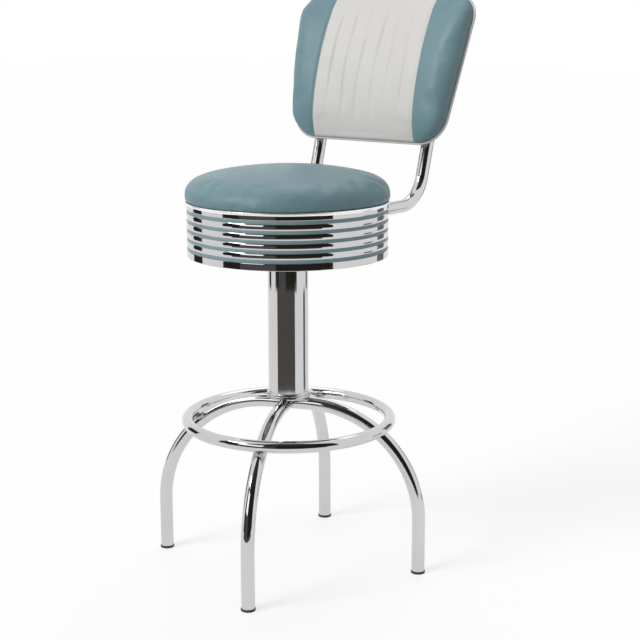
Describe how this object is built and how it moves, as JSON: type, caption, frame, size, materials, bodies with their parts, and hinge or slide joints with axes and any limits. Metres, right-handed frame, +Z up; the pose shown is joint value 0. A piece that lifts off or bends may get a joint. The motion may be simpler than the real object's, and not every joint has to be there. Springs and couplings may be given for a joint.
{
  "type": "counter stool",
  "caption": "Bar-height diner stool: round padded swivel seat with a ribbed bright band, tube-borne padded back rest, column, bent tube legs and foot ring.",
  "frame": {"origin": "on the floor, under the middle of the whole stool's outline", "axes": "+Z up; the seat faces -Y, with the back rest towards +Y; +X is to the right of a viewer who faces the back rest; the swivel axis is vertical, in front of the origin"},
  "size_m": [0.5006, 0.5877, 1.0769],
  "materials": {
    "chrome": "polished chrome plate on steel",
    "black_nylon": "moulded, satin",
    "plated_steel": "zinc plated",
    "bronze": "oiled sintered bronze",
    "plywood": "raw plywood",
    "foam": "cut foam",
    "teal_vinyl": "smooth vinyl, soft sheen",
    "white_vinyl": "smooth vinyl, soft sheen",
    "teal_strip": "satin strip"
  },
  "bodies": {
    "base": {"leg_right": "chrome", "leg_rear": "chrome", "leg_left": "chrome", "leg_front": "chrome", "glide_right": "black_nylon", "glide_rear": "black_nylon", "glide_left": "black_nylon", "glide_front": "black_nylon", "foot_ring": "chrome", "hub_plate": "chrome", "column_tube": "chrome", "column_collar": "chrome", "bearing_housing": "plated_steel", "upper_bush": "bronze", "lower_bush": "bronze", "lower_race": "plated_steel"},
    "cage": {"ball_cage": "bronze", "bearing_balls": "plated_steel"},
    "seat": {"upper_race": "plated_steel", "spindle": "plated_steel", "spindle_washer": "plated_steel", "spindle_clip": "plated_steel", "swivel_plate": "plated_steel", "plate_bolts": "plated_steel", "tube_bolts": "plated_steel", "plate_tee_nuts": "plated_steel", "tube_tee_nuts": "plated_steel", "band_brackets": "plated_steel", "bracket_screws": "plated_steel", "seat_board": "plywood", "seat_foam": "foam", "seat_cover": "teal_vinyl", "seat_band": "chrome", "band_inlay_1": "teal_strip", "band_inlay_2": "teal_strip", "band_inlay_3": "teal_strip", "band_inlay_4": "teal_strip", "band_inlay_5": "teal_strip", "back_tube_left": "chrome", "back_tube_right": "chrome", "tube_caps": "black_nylon", "tube_plugs": "black_nylon", "back_foam": "foam", "back_cover_left": "teal_vinyl", "back_cover_right": "teal_vinyl", "back_cover_centre": "white_vinyl", "back_welt": "white_vinyl", "back_board": "plywood", "back_cover_rear": "white_vinyl", "back_bolts": "chrome", "back_tee_nuts": "plated_steel"}
  },
  "joints": [
    {"name": "seat_swivel", "type": "hinge", "parent": "base", "child": "seat", "pos_m": [0, -0.04342, 0.6825], "axis": [0, 0, 1], "continuous": true},
    {"name": "cage_roll", "type": "hinge", "parent": "base", "child": "cage", "pos_m": [0, -0.04342, 0.6825], "axis": [0, 0, 1], "continuous": true}
  ],
  "couplings": [
    {"joint": "cage_roll", "follows": "seat_swivel", "ratio": 0.5}
  ]
}
